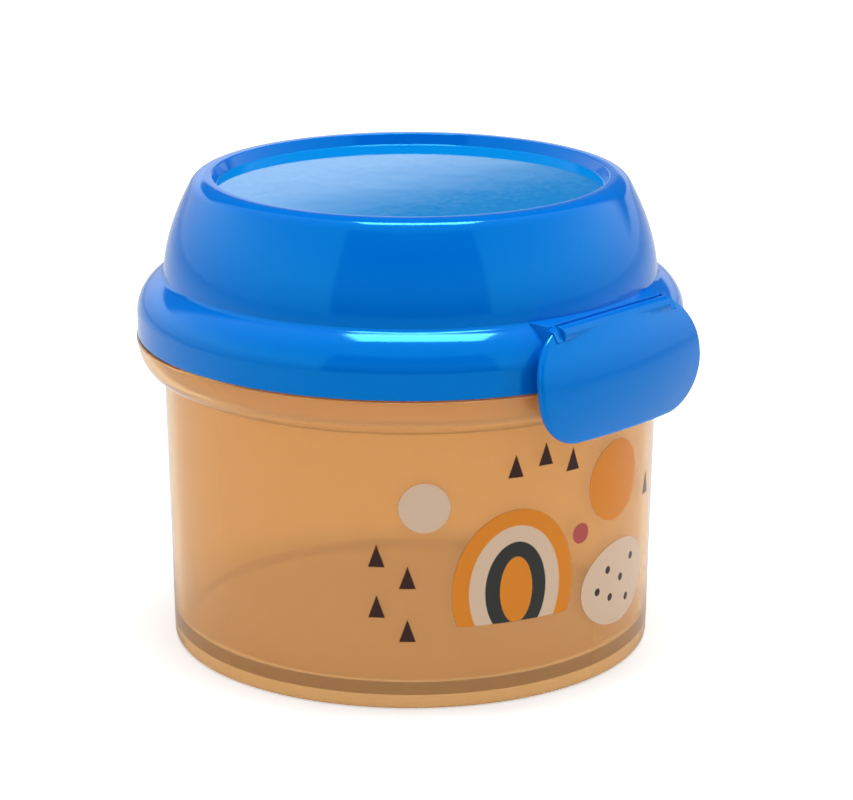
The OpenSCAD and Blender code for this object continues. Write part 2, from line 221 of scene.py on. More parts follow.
# Sizes in mm
wall_r, wall_t = 46, 1.6  # outer radius under the shoulder, and thickness
foot_r, foot_round = 44.9, 1.2  # outside of the foot ring
foot_in_r, foot_in_round = 42.9, 0.4  # inside of the foot ring
under_z, floor_z, well_round = 2.2, 4, 3  # the floor, and its round up to the wall
step_z, step_r, step_round, step_crease = 51.6, 46.8, 0.25, 0.2  # the step under the shoulder
seam_z, rim_r, seam_edge = 58.7, 51, 0.3  # the shoulder's top edge, under the lid's rim
lip_z, lip_r, lip_edge = 64, 45.9, 0.4  # the mouth lip
groove_z, groove_round, groove_edge = 53.9, 0.5, 0.4  # the groove between lip and shoulder
mouth_r = wall_r - wall_t
hub_r = 0.4  # each flat is closed by one face inside this radius
floor_rings = (20, 36)  # radii that divide the flat floor


def wall_at(z):
    """Outer radius of the cup wall at a height, in mm."""
    return foot_r + (wall_r - foot_r) * (z - foot_round) / (step_z - foot_round)


shoulder_curve = curve((step_r, step_z + step_round), (rim_r - 0.5, step_z + 1.6),
                       (rim_r, seam_z - seam_edge))
cup = lathe("cup_shell", [(r, floor_z) for r in (hub_r, *floor_rings)]
            + corner((wall_at(floor_z + well_round) - wall_t - well_round, floor_z + well_round),
                     well_round, -90, 0, 10)
            + [(mouth_r, step_z)]
            + corner((mouth_r + lip_edge, lip_z - lip_edge), lip_edge, 180, 90)
            + corner((lip_r - lip_edge, lip_z - lip_edge), lip_edge, 90, 0)
            + [(lip_r, seam_z), (rim_r - wall_t, seam_z)]
            + corner((rim_r - seam_edge, seam_z - seam_edge), seam_edge, 90, 10)
            + shoulder_curve[::-1]
            + corner((step_r - step_round, step_z + step_round), step_round, 0, -90, 4)
            + corner((wall_r + step_crease, step_z - step_crease), step_crease, 90, 180, 4)
            + corner((foot_r - foot_round, foot_round), foot_round, 0, -90, 8)
            + corner((foot_in_r + foot_in_round, foot_in_round), foot_in_round, -90, -180, 4)
            + [(r, under_z) for r in (foot_in_r, *floor_rings[::-1], hub_r)])

# The flat front of the shoulder, behind the clip, and the groove round the lip. The outer
# numbers of every block that cuts only have to lie outside the piece.
cup_flat_y, cup_flat_half = -49.2, 20
carve(cup, block("front_flat", (-cup_flat_half, -60, step_z - 1),
                 (cup_flat_half, cup_flat_y, seam_z + 1)), "DIFFERENCE")
groove_out_r = rim_r - wall_t + groove_edge
inner = [p for p in moved_in(shoulder_curve, wall_t) if p[1] > groove_z and p[0] > lip_r + 1.2]
groove = lathe("groove", [(lip_r, groove_z)]
               + corner((lip_r + groove_round, groove_z + 0.2), groove_round, 180, 270, 4) + inner
               + corner((groove_out_r, seam_z - groove_edge), groove_edge, 180, 90, 4)
               + [(groove_out_r, seam_z + 1), (lip_r, seam_z + 1)], closed=True)
carve(groove, block("front_fill", (-25, -60, 50), (25, cup_flat_y + wall_t, 62)), "DIFFERENCE")
carve(cup, groove, "DIFFERENCE")

# The catch ledge on the flat front
catch_half, catch_root_y, catch_nose_y = 8, -48.2, -50.6
catch_low_z, catch_nose_z, catch_top_z = 54.65, 55.45, 58.3
carve(cup, plate("catch", -catch_half, catch_half, [
    (catch_root_y, catch_low_z), (catch_nose_y, catch_low_z),
    (catch_nose_y, catch_nose_z), (catch_root_y, catch_top_z)]), "UNION")

# The two ears of the lid's hinge, on the axis at hinge_y and hinge_z
hinge_y, hinge_z, knuckle_r, hinge_pin_r, pin_gap = 51.2, 62.5, 2.2, 1.2, 0.05
ear_in, ear_out, ear_root = 7.0, 10.5, (49, 54.6)
for side in (-1, 1):
    low, high = sorted((side * ear_in, side * ear_out))
    ear = plate("ear", low, high, corner((hinge_y, hinge_z), knuckle_r, 0, 180, 32)
                + [ear_root, (hinge_y + knuckle_r, seam_z)], 0.3)
    carve(ear, bar("pin_bore", hinge_pin_r + pin_gap, low - 1, high + 1, hinge_y, hinge_z),
          "DIFFERENCE")
    carve(cup, ear, "UNION")


def finish_piece(piece, material, body, slot, *nodes, angle=32):
    """Smooths a piece, gives it its material and ties it to the body that it moves with."""
    bpy.ops.object.select_all(action="DESELECT")
    piece.select_set(True)
    bpy.context.view_layer.objects.active = piece
    bpy.ops.object.shade_smooth_by_angle(angle=math.radians(angle))
    even = piece.modifiers.new("even", "WEIGHTED_NORMAL")
    even.keep_sharp = True
    bpy.ops.object.modifier_apply(modifier=even.name)
    piece.data.materials.clear()
    piece.data.materials.append(material)
    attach(piece, body)
    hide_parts(*nodes)


def link(tree, start, end):
    """Joins an output socket to an input socket."""
    tree.links.new(start, end)


def math_node(tree, how, a, b=0.0):
    """A Math node on two sockets or numbers; returns its output."""
    node = tree.nodes.new("ShaderNodeMath")
    node.operation = how
    for socket, value in zip(node.inputs, (a, b)):
        if isinstance(value, bpy.types.NodeSocket):
            link(tree, value, socket)
        else:
            socket.default_value = value
    return node.outputs[0]


def mix_node(tree, share, under, over):
    """A colour Mix node on sockets or plain colours; returns its output."""
    node = tree.nodes.new("ShaderNodeMix")
    node.data_type = "RGBA"
    link(tree, share, node.inputs[0])
    for socket, value in zip((node.inputs[6], node.inputs[7]), (under, over)):
        if isinstance(value, bpy.types.NodeSocket):
            link(tree, value, socket)
        else:
            socket.default_value = (*value, 1)
    return node.outputs[2]


def moulded_surface():
    """Group: the faint waviness and fine matt speckle of a moulded plastic surface."""
    group = bpy.data.node_groups.new("moulded_surface", "ShaderNodeTree")
    for name, value in (("Wave Size", 60), ("Wave Height", 0.1),
                        ("Gloss Low", 0.08), ("Gloss High", 0.2)):
        group.interface.new_socket(
            name, in_out="INPUT", socket_type="NodeSocketFloat").default_value = value
    group.interface.new_socket("Roughness", in_out="OUTPUT", socket_type="NodeSocketFloat")
    group.interface.new_socket("Normal", in_out="OUTPUT", socket_type="NodeSocketVector")
    group.interface.new_socket("Mottle", in_out="OUTPUT", socket_type="NodeSocketFloat")
    given = group.nodes.new("NodeGroupInput")
    result = group.nodes.new("NodeGroupOutput")
    place = group.nodes.new("ShaderNodeTexCoord")
    wave = group.nodes.new("ShaderNodeTexNoise")
    wave.inputs["Detail"].default_value = 2
    link(group, place.outputs["Object"], wave.inputs["Vector"])
    link(group, given.outputs["Wave Size"], wave.inputs["Scale"])
    bump = group.nodes.new("ShaderNodeBump")
    bump.inputs["Distance"].default_value = 0.0002
    link(group, given.outputs["Wave Height"], bump.inputs["Strength"])
    link(group, wave.outputs["Fac"], bump.inputs["Height"])
    speck = group.nodes.new("ShaderNodeTexNoise")
    speck.inputs["Scale"].default_value = 900
    speck.inputs["Detail"].default_value = 4
    link(group, place.outputs["Object"], speck.inputs["Vector"])
    spread = group.nodes.new("ShaderNodeMapRange")
    spread.inputs["From Min"].default_value = 0.3
    spread.inputs["From Max"].default_value = 0.7
    link(group, speck.outputs["Fac"], spread.inputs["Value"])
    link(group, given.outputs["Gloss Low"], spread.inputs["To Min"])
    link(group, given.outputs["Gloss High"], spread.inputs["To Max"])
    cloud = group.nodes.new("ShaderNodeTexNoise")
    cloud.inputs["Scale"].default_value = 28
    cloud.inputs["Detail"].default_value = 3
    link(group, place.outputs["Object"], cloud.inputs["Vector"])
    link(group, spread.outputs["Result"], result.inputs["Roughness"])
    link(group, bump.outputs["Normal"], result.inputs["Normal"])
    link(group, cloud.outputs["Fac"], result.inputs["Mottle"])
    return group


moulding = moulded_surface()


def plastic(name, shade, deep_shade, gloss, wave_height=0.06):
    """A moulded plastic: two near shades mottled together, gloss that varies a little."""
    material = bpy.data.materials.new(name)
    material.use_nodes = True
    tree = material.node_tree
    shader = tree.nodes["Principled BSDF"]
    surface = tree.nodes.new("ShaderNodeGroup")
    surface.node_tree = moulding
    surface.inputs["Gloss Low"].default_value = gloss[0]
    surface.inputs["Gloss High"].default_value = gloss[1]
    surface.inputs["Wave Height"].default_value = wave_height
    blend = mix_node(tree, surface.outputs["Mottle"], shade, deep_shade)
    link(tree, blend, shader.inputs["Base Color"])
    link(tree, surface.outputs["Roughness"], shader.inputs["Roughness"])
    link(tree, surface.outputs["Normal"], shader.inputs["Normal"])
    return material


cup_plastic = plastic("cup_plastic", (0.90, 0.585, 0.255), (0.89, 0.565, 0.24), (0.05, 0.08))
shader = cup_plastic.node_tree.nodes["Principled BSDF"]
shader.inputs["Transmission Weight"].default_value = 0.68
shader.inputs["IOR"].default_value = 1.15
shader.inputs["Coat Weight"].default_value = 0.5
shader.inputs["Coat Roughness"].default_value = 0.06
finish_piece(cup, cup_plastic, "cup", "cup_plastic", "cup")


# ---- Lid -------------------------------------------------------------------
# The opaque blue lid: a round rim over the cup's shoulder, a high dome and a
# sunk round panel. One polypropylene moulding with a plug wall that enters the
# cup's mouth, hinge pins at the back and two lugs for the clip at the front.

# Sizes in mm
lid_low_z, lid_edge, lid_rim_r, band_z = 58.9, 0.4, 50.8, 63.5  # the rim
crease_z, crease_r = 70.2, 45.8  # where the dome starts
dome_turn_r, top_z = 40.8, 88.3
dome_turn_z = top_z - 1.9
ring_r, ring_w, ring_slant, ring_edge, panel_z = 37.8, 1.3, 0.6, 0.3, 86.2  # round the panel
lid_t, ceiling_z = 1.7, 84.5
plug_r, plug_in_r, plug_low_z, plug_edge = 43.95, 42.75, 61, 0.3
seal_room_r, seal_roof_z, rib_r, rib_low_z = 46.15, 66, 47.35, 62.5
panel_rings = (28, 14)  # radii that divide the flat panel

rim_curve = curve((lid_rim_r, band_z), (lid_rim_r - 0.4, crease_z - 2.6),
                  (crease_r + 0.35, crease_z - 0.15), 24)
dome_curve = curve((crease_r, crease_z + 0.3), (crease_r - 0.3, crease_z + 7.4),
                   (dome_turn_r, dome_turn_z), 24)
turn_curve = curve((dome_turn_r, dome_turn_z), (dome_turn_r - 1, top_z), (ring_r, top_z), 12)
lid = lathe("lid_shell", [(hub_r, lid_low_z), (30, lid_low_z)]
            + corner((lid_rim_r - lid_edge, lid_low_z + lid_edge), lid_edge, -90, 0)
            + rim_curve + dome_curve + turn_curve[1:]
            + corner((ring_r - ring_w + ring_edge, top_z - ring_edge), ring_edge, 90, 180, 5)
            + corner((ring_r - ring_w - ring_slant - ring_edge, panel_z + ring_edge),
                     ring_edge, 0, -90, 5)
            + [(r, panel_z) for r in (*panel_rings, hub_r)])


def shave(piece, place, facing):
    """Cuts off all of a piece that lies in front of a plane through a place in mm."""
    bpy.ops.object.mode_set(mode="EDIT")
    bpy.ops.mesh.select_all(action="SELECT")
    bpy.ops.mesh.bisect(plane_co=[p * MM for p in place], plane_no=facing, use_fill=True,
                        clear_outer=True)
    bpy.ops.object.mode_set(mode="OBJECT")


# The flat front, with the block and the two lugs for the clip. A lug's front is round about
# the pin, and cut flat where it faces outwards.
flat_y, pivot_y, pivot_z, ledge_z = -47.1, -48.1375, 68.7, 70.5
ledge_front_y, ledge_back_y, ledge_drop = -47, -42, 2.4
lug_in, lug_out, lug_r, lug_back_y = 14.975, 16.675, 1.5, -46
lug_flat, lug_flat_turn = 0.68, 148  # mm from the pin's axis to that cut, and where it faces
barrel_r, pin_r = 1.6, 0.5
tuck = 0.02  # how far a piece stays inside the faces of the one that it joins
carve(lid, block("rim_flat", (-30, -60, 50), (30, flat_y, crease_z + 1)), "DIFFERENCE")
lug_front = []
for angle in range(270, 95, -7):
    reach = min(lug_r, lug_flat / max(math.cos(math.radians(angle - lug_flat_turn)), 0.1))
    lug_front.append((pivot_y + reach * math.cos(math.radians(angle)),
                      pivot_z + reach * math.sin(math.radians(angle))))
carve(lid, block("ledge", (-lug_out, ledge_front_y, pivot_z - ledge_drop),
                 (lug_out, ledge_back_y, ledge_z), 0.2), "UNION")
for side in (-1, 1):
    low, high = sorted((side * lug_in, side * (lug_out - tuck)))
    lug = plate("lug", low, high, [
        (lug_back_y, ledge_z - tuck), (lug_back_y, pivot_z - ledge_drop + tuck),
        (flat_y + 0.4, pivot_z - 2.2)] + lug_front + [(flat_y + tuck, ledge_z - 0.07)])
    shave(lug, (side * lug_in, pivot_y, pivot_z + 1.65), (side * 0.4, 0, 0.92))
    carve(lid, lug, "UNION")

# Everything inside: the room with the plug wall and the seal's groove, then the hollow rim
room_curve = [(min(x, plug_in_r), z) for x, z in moved_in(dome_curve, lid_t) if z < ceiling_z - 2]
room_turn = room_curve[-1][0]
carve(lid, lathe("room", [(hub_r, lid_low_z - 1), (seal_room_r, lid_low_z - 1),
                          (seal_room_r, seal_roof_z), (plug_r, seal_roof_z)]
                 + corner((plug_r - plug_edge, plug_low_z + plug_edge), plug_edge, 0, -90, 4)
                 + corner((plug_in_r + plug_edge, plug_low_z + plug_edge), plug_edge, 270, 180, 4)
                 + room_curve
                 + curve(room_curve[-1], (room_turn - 0.6, ceiling_z),
                         (room_turn - 4, ceiling_z), 10)[1:]
                 + [(r, ceiling_z) for r in (*panel_rings, hub_r)]), "DIFFERENCE")
roof = [p for p in moved_in(rim_curve, lid_t) if p[0] > rib_r and p[1] < crease_z - lid_t]
hollow_r = lid_rim_r - lid_t + 0.3
hollow = lathe("hollow", [(seal_room_r - 1, lid_low_z - 1), (hollow_r, lid_low_z - 1)]
               + corner((hollow_r, lid_low_z + 0.3), 0.3, 270, 180, 4)
               + roof + [(rib_r, roof[-1][1]), (rib_r, rib_low_z), (seal_room_r - 1, rib_low_z)],
               closed=True)
carve(hollow, block("front_fill", (-60, -60, 50), (60, -seal_room_r, 80)), "DIFFERENCE")
carve(hollow, block("ear_fill", (-ear_out - lid_t, 40, hinge_z), (ear_out + lid_t, 60, 80)),
      "DIFFERENCE")
carve(lid, hollow, "DIFFERENCE")
carve(lid, bar("barrel_room", barrel_r + 0.1, -lug_in, lug_in, pivot_y, pivot_z), "DIFFERENCE")

# Bores in the lugs, slots for the cup's ears, and the knuckle with its moulded pins
ear_gap, slot_in_y, slot_low_z, knuckle_root_y = 0.3, 47.6, 57, 49.2
for side in (-1, 1):
    low, high = sorted((side * (lug_in - 1), side * (lug_out + 1)))
    carve(lid, bar("lug_bore", pin_r + pin_gap, low, high, pivot_y, pivot_z), "DIFFERENCE")
    low, high = sorted((side * (ear_in - ear_gap), side * (ear_out + ear_gap)))
    carve(lid, plate("ear_slot", low, high,
                     corner((hinge_y, hinge_z), knuckle_r + ear_gap, 0, 180, 32)
                     + [(slot_in_y, hinge_z), (slot_in_y, slot_low_z),
                        (60, slot_low_z), (60, hinge_z)]), "DIFFERENCE")
carve(lid, bar("hinge_pins", hinge_pin_r, ear_gap - ear_out, ear_out - ear_gap,
               hinge_y, hinge_z, 0.2), "UNION")
knuckle_half = ear_in - ear_gap - tuck
carve(lid, plate("knuckle", -knuckle_half, knuckle_half,
                 corner((hinge_y, hinge_z), knuckle_r, -90, 90, 32)
                 + [(knuckle_root_y, hinge_z + knuckle_r), (knuckle_root_y, hinge_z - knuckle_r)],
                 0.25), "UNION")

lid_plastic = plastic("lid_plastic", (0.0, 0.185, 0.74), (0.0, 0.172, 0.71), (0.07, 0.12))
tree = lid_plastic.node_tree
shader = tree.nodes["Principled BSDF"]
shader.inputs["Specular IOR Level"].default_value = 0.8
shader.inputs["Specular Tint"].default_value = (0.05, 0.75, 0.9, 1)

# The panel on top is smoother than the rest, and its colour is painted a shade lighter: painted
# light on the face that looks up to the soft box
panel_painted_light, panel_polish = (0.0, 0.27, 0.72), -0.055
axes = tree.nodes.new("ShaderNodeSeparateXYZ")
link(tree, tree.nodes.new("ShaderNodeTexCoord").outputs["Object"], axes.inputs[0])
level = math_node(tree, "MULTIPLY",
                  math_node(tree, "GREATER_THAN", axes.outputs["Z"], (panel_z - 0.2) * MM),
                  math_node(tree, "LESS_THAN", axes.outputs["Z"], (panel_z + 0.1) * MM))
away_squared = math_node(tree, "ADD", math_node(tree, "POWER", axes.outputs["X"], 2),
                         math_node(tree, "POWER", axes.outputs["Y"], 2))
panel = math_node(tree, "MULTIPLY", level,
                  math_node(tree, "LESS_THAN", away_squared, (ring_r * MM) ** 2))
gloss = math_node(tree, "ADD", shader.inputs["Roughness"].links[0].from_socket,
                  math_node(tree, "MULTIPLY", panel, panel_polish))
link(tree, gloss, shader.inputs["Roughness"])
# Painted light: the panel's colour is made a shade lighter than the lid's own blue
paint = mix_node(tree, panel, shader.inputs["Base Color"].links[0].from_socket, panel_painted_light)
link(tree, paint, shader.inputs["Base Color"])
finish_piece(lid, lid_plastic, "lid", "lid_plastic", "lid")


# ---- Seal ring -------------------------------------------------------------
# The soft ring in the groove between the lid's plug wall and its rib. The cup's
# lip presses on it. Moulded silicone, pressed into the groove by hand.

seal_gap, seal_round = 0.1, 0.35
seal_in, seal_out = plug_r + seal_gap, seal_room_r - seal_gap
seal = lathe("seal_ring_soft", [p for centre, start in (
    ((seal_out - seal_round, lip_z + seal_round), -90),
    ((seal_out - seal_round, seal_roof_z - seal_round), 0),
    ((seal_in + seal_round, seal_roof_z - seal_round), 90),
    ((seal_in + seal_round, lip_z + seal_round), 180),
) for p in corner(centre, seal_round, start, start + 90, 4)], closed=True)
seal_silicone = plastic("seal_silicone", (0.85, 0.87, 0.88), (0.78, 0.81, 0.83), (0.4, 0.55))
finish_piece(seal, seal_silicone, "lid", "seal_silicone", "seal_ring")


# ---- Clip ------------------------------------------------------------------
# The snap clip: one curved plate that turns on pins in the lid's lugs. A bead
# inside it snaps under the ledge on the cup. Blue polypropylene, as the lid.

# Sizes in mm
clip_w, clip_low_z, clip_top_z, clip_t = 44.8, 49.2, 70.8, 1.8
clip_top_r, clip_low_r = 10.4, 10  # its upper and lower corners
clip_face_y, clip_face_r = 53.4, 109  # how far its face stands out, and its sideways curve
belly_z, upper_r, lower_r = 57.2, 21.7, 27.3  # its curve above and below the belly
root_z = pivot_z + barrel_r * math.sin(math.radians(32))
bead_r, bead_half, bead_y, bead_z = 1, 9, -51.75, 53.5


def clip_outline(inset):
    """The clip's rounded outline seen from the front, moved in by an inset: (x, z) in mm."""
    top_r, low_r, side = clip_top_r - inset, clip_low_r - inset, clip_w / 2 - inset
    low, high = clip_low_z + inset, clip_top_z - inset
    steps = [1 - i / 12 for i in range(1, 24)]
    return (corner((side - top_r, high - top_r), top_r, 0, 90, 24)
            + [((side - top_r) * step, high) for step in steps]
            + corner((top_r - side, high - top_r), top_r, 90, 180, 24)
            + corner((low_r - side, low + low_r), low_r, 180, 270, 24)
            + [((low_r - side) * step, low) for step in steps]
            + corner((side - low_r, low + low_r), low_r, 270, 360, 24))


def round_edges(piece, r, limit, segments):
    """Rounds all edges of a piece that are sharper than an angle in degrees."""
    rounding = piece.modifiers.new("rounding", "BEVEL")
    rounding.width = r * MM
    rounding.segments = segments
    rounding.limit_method = "ANGLE"
    rounding.angle_limit = math.radians(limit)
    bpy.ops.object.modifier_apply(modifier=rounding.name)


# A flat plate of outlines inside each other, with a divided face in the innermost one
insets = list(range(8))
around = len(clip_outline(0))
bpy.ops.object.select_all(action="DESELECT")
bpy.ops.mesh.primitive_grid_add(x_subdivisions=around, y_subdivisions=len(insets) - 1, size=1)
clip = bpy.context.object
clip.name = "snap_clip"
for vertex in clip.data.vertices:
    k = round((vertex.co.x + 0.5) * around) % around
    ring = round((vertex.co.y + 0.5) * (len(insets) - 1))
    x, z = clip_outline(insets[ring])[k]
    vertex.co = (x * MM, 0, z * MM)
bpy.ops.object.mode_set(mode="EDIT")
bpy.ops.mesh.select_all(action="SELECT")
bpy.ops.mesh.remove_doubles(threshold=0.002 * MM)
bpy.ops.mesh.select_all(action="DESELECT")
bpy.ops.mesh.select_mode(type="EDGE")
bpy.ops.object.mode_set(mode="OBJECT")
inner_half_w = clip_w / 2 - insets[-1]
inner_half_h = (clip_top_z - clip_low_z) / 2 - insets[-1]
middle_z = (clip_low_z + clip_top_z) / 2
for edge in clip.data.edges:
    ends = [clip.data.vertices[k].co / MM for k in edge.vertices]
    edge.select = all(abs(co.x) < inner_half_w + 0.01
                      and abs(co.z - middle_z) < inner_half_h + 0.01 for co in ends)
bpy.ops.object.mode_set(mode="EDIT")
bpy.ops.mesh.edge_face_add()
cuts = [((x * MM, 0, 0), (1, 0, 0)) for x in range(-14, 15)]
cuts += [((0, 0, (middle_z + z) * MM), (0, 0, 1)) for z in (-2.8, -1.4, 0, 1.4, 2.8)]
bpy.ops.mesh.select_mode(type="FACE")
for place, facing in cuts:
    bpy.ops.object.mode_set(mode="OBJECT")
    for face in clip.data.polygons:
        at = face.center / MM
        face.select = abs(at.x) < inner_half_w - 0.39 and abs(at.z - middle_z) < inner_half_h - 0.2
    bpy.ops.object.mode_set(mode="EDIT")
    bpy.ops.mesh.bisect(plane_co=place, plane_no=facing)
bpy.ops.mesh.select_all(action="SELECT")
bpy.ops.mesh.normals_make_consistent(inside=False)
bpy.ops.object.mode_set(mode="OBJECT")

# The plate is curved, made thick and rounded, then trimmed round its barrel and pins
for vertex in clip.data.vertices:
    rise = vertex.co.z / MM - belly_z
    arc_r = upper_r if rise > 0 else lower_r
    reach = clip_face_r - arc_r + math.sqrt(arc_r ** 2 - rise ** 2)
    depth = math.sqrt(reach ** 2 - (vertex.co.x / MM) ** 2)
    vertex.co.y = -MM * (clip_face_y - clip_face_r + depth)
wall = clip.modifiers.new("wall", "SOLIDIFY")
wall.thickness = clip_t * MM
wall.offset = -1
wall.use_even_offset = True
bpy.ops.object.modifier_apply(modifier="wall")
round_edges(clip, 0.75, 55, 5)

carve(clip, block("top_trim", (-30, -60, root_z), (30, -40, 75)), "DIFFERENCE")
carve(clip, block("root_trim", (-30, pivot_y, root_z - 3), (30, -40, 75)), "DIFFERENCE")
notch_in, notch_out, notch_r = lug_in - 0.08, lug_out + 0.1, lug_r + 0.05
barrel_half, pins_half = lug_in - 0.06, lug_out - 0.05
for side in (-1, 1):
    low, high = sorted((side * notch_in, side * notch_out))
    carve(clip, bar("lug_notch", notch_r, low, high, pivot_y, pivot_z), "DIFFERENCE")
    carve(clip, block("lug_room", (low, -60, pivot_z), (high, -40, 75)), "DIFFERENCE")
carve(clip, bar("barrel", barrel_r, -barrel_half, barrel_half, pivot_y, pivot_z, 0.2), "UNION")
carve(clip, bar("clip_pins", pin_r, -pins_half, pins_half, pivot_y, pivot_z, 0.1), "UNION")
carve(clip, bar("bead", bead_r, -bead_half, bead_half, bead_y, bead_z, 0.4), "UNION")
finish_piece(clip, lid_plastic, "clip", "clip_plastic", "clip", angle=40)


# ---- Label -----------------------------------------------------------------
# The printed film that is moulded into the front of the cup: a clear foil with
# a plain pattern of discs, arches, wedges and dots in flat inks.

# Sizes in mm, and the label's reach to each side in degrees round the cup
label_half, label_low_z, label_top_z, label_corner = 62, 7, 49.4, 4
label_r, label_lift, film_t = 45.5, 0.02, 0.03

bpy.ops.object.select_all(action="DESELECT")
bpy.ops.mesh.primitive_plane_add(
    size=1, location=(0, 0, (label_low_z + label_top_z) / 2 * MM), rotation=(math.pi / 2, 0, 0))
label = bpy.context.object
label.name = "label_film"
label.scale = (2 * math.radians(label_half) * label_r * MM, (label_top_z - label_low_z) * MM, 1)
bpy.ops.object.transform_apply()
bpy.ops.object.mode_set(mode="EDIT")
bpy.ops.mesh.select_all(action="SELECT")
bpy.ops.mesh.bevel(offset=label_corner * MM, affect="VERTICES", segments=8)
for i in range(1 - label_half, label_half):
    bpy.ops.mesh.select_all(action="SELECT")
    bpy.ops.mesh.bisect(plane_co=(math.radians(i) * label_r * MM, 0, 0), plane_no=(1, 0, 0))
bpy.ops.object.mode_set(mode="OBJECT")
for vertex in label.data.vertices:
    angle = vertex.co.x / MM / label_r
    reach = (wall_at(vertex.co.z / MM) + label_lift) * MM
    vertex.co.x, vertex.co.y = reach * math.sin(angle), -reach * math.cos(angle)
foil = label.modifiers.new("foil", "SOLIDIFY")
foil.thickness = film_t * MM
foil.offset = 1
bpy.ops.object.modifier_apply(modifier="foil")


def soft_step(tree, value, width=0.12):
    """0 below zero and 1 above it, with a narrow soft edge in mm."""
    node = tree.nodes.new("ShaderNodeMapRange")
    node.inputs["From Min"].default_value = -width / 2
    node.inputs["From Max"].default_value = width / 2
    link(tree, value, node.inputs["Value"])
    return node.outputs["Result"]


def ink_spot():
    """Group: mask of an oval spot of ink, given the place on the label in mm."""
    group = bpy.data.node_groups.new("ink_spot", "ShaderNodeTree")
    for name in ("Across", "Up", "Centre Across", "Centre Up", "Half Width", "Half Height"):
        group.interface.new_socket(name, in_out="INPUT", socket_type="NodeSocketFloat")
    group.interface.new_socket("Mask", in_out="OUTPUT", socket_type="NodeSocketFloat")
    given = group.nodes.new("NodeGroupInput").outputs
    result = group.nodes.new("NodeGroupOutput")
    across = math_node(group, "DIVIDE", math_node(group, "SUBTRACT", given["Across"],
                                                  given["Centre Across"]), given["Half Width"])
    up = math_node(group, "DIVIDE", math_node(group, "SUBTRACT", given["Up"],
                                              given["Centre Up"]), given["Half Height"])
    away = math_node(group, "SQRT", math_node(group, "ADD", math_node(group, "POWER", across, 2),
                                              math_node(group, "POWER", up, 2)))
    inside = math_node(group, "MULTIPLY", math_node(group, "SUBTRACT", 1, away),
                       given["Half Width"])
    link(group, soft_step(group, inside), result.inputs["Mask"])
    return group


def spot(tree, place, across, up, half_w, half_h=None):
    """An oval of ink on the label; returns its mask."""
    node = tree.nodes.new("ShaderNodeGroup")
    node.node_tree = spot_group
    link(tree, place[0], node.inputs["Across"])
    link(tree, place[1], node.inputs["Up"])
    node.inputs["Centre Across"].default_value = across
    node.inputs["Centre Up"].default_value = up
    node.inputs["Half Width"].default_value = half_w
    node.inputs["Half Height"].default_value = half_h or half_w
    return node.outputs["Mask"]


def wedge(tree, place, across, foot, half_w, tall):
    """A small upright triangle of ink; returns its mask."""
    up = math_node(tree, "SUBTRACT", place[1], foot)
    off = math_node(tree, "ABSOLUTE", math_node(tree, "SUBTRACT", place[0], across))
    room = math_node(tree, "MULTIPLY", math_node(tree, "SUBTRACT", tall, up), half_w / tall)
    beside = math_node(tree, "SUBTRACT", room, off)
    return math_node(tree, "MULTIPLY", soft_step(tree, up), soft_step(tree, beside))


def either(tree, first, *others):
    """A mask of wherever any of the masks is."""
    for other in others:
        first = math_node(tree, "MAXIMUM", first, other)
    return first


spot_group = ink_spot()
amber, cream, charcoal = (0.84, 0.265, 0.01), (0.80, 0.58, 0.41), (0.028, 0.03, 0.026)
wedge_ink, coral = (0.034, 0.008, 0.003), (0.50, 0.085, 0.08)

label_film = plastic("label_film", (0.75, 0.5, 0.2), (0.75, 0.5, 0.2), (0.12, 0.2), 0.03)
tree = label_film.node_tree
shader = tree.nodes["Principled BSDF"]
at = tree.nodes.new("ShaderNodeTexCoord")
axes = tree.nodes.new("ShaderNodeSeparateXYZ")
link(tree, at.outputs["Object"], axes.inputs[0])
front = math_node(tree, "MULTIPLY", axes.outputs["Y"], -1)
turn = math_node(tree, "ARCTAN2", axes.outputs["X"], front)
place = (math_node(tree, "MULTIPLY", turn, label_r),
         math_node(tree, "DIVIDE", axes.outputs["Z"], MM))

# Arches, discs, a pebble with dots, and small wedges: places and sizes in mm
arch_at, arch_foot, arch_rise = -18.5, 15.5, 6
above_foot = soft_step(tree, math_node(tree, "SUBTRACT", place[1], arch_foot))
arches = [math_node(tree, "MULTIPLY", spot(tree, place, arch_at, arch_foot + arch_rise, r, r + 3),
                    above_foot) for r in (12, 9, 6, 3.2)]
disc = spot(tree, place, 5, 37.5, 7.5)
pebble = spot(tree, place, 7, 17.5, 11, 8)
dots = either(tree, *[spot(tree, place, across, up, 0.75) for across, up in (
    (0.5, 17), (3.5, 20.5), (4.5, 15), (8, 18), (10.5, 13.5), (12, 21))])
sun = spot(tree, place, -35.5, 38, 4.6)
wedges = either(tree, *[wedge(tree, place, across, foot, 1.5, 4.2) for across, foot in (
    (-44, 27), (-38.5, 23), (-44, 17.5), (-38.5, 13), (-7, 42), (-13, 44), (-19, 42.5), (19, 31))])
berry = spot(tree, place, -4.5, 29.5, 1.9)

inks = ((arches[0], amber), (arches[1], cream), (arches[2], charcoal), (arches[3], amber),
        (disc, amber), (pebble, cream), (dots, wedge_ink), (sun, cream), (wedges, wedge_ink),
        (berry, coral))
ink = amber
for mask, paint in inks:
    ink = mix_node(tree, mask, ink, paint)
link(tree, ink, shader.inputs["Base Color"])
link(tree, either(tree, *[mask for mask, paint in inks]), shader.inputs["Alpha"])
shader.inputs["Specular IOR Level"].default_value = 0.25
finish_piece(label, label_film, "cup", "label_film", "front_label")


# ---- Studio ----------------------------------------------------------------
# A white floor and one soft box straight above, in a pale studio: bright walls to both
# sides and behind, a dark gap behind the camera, and a dark top to the wall that the
# container's back faces. The camera itself sees plain white.

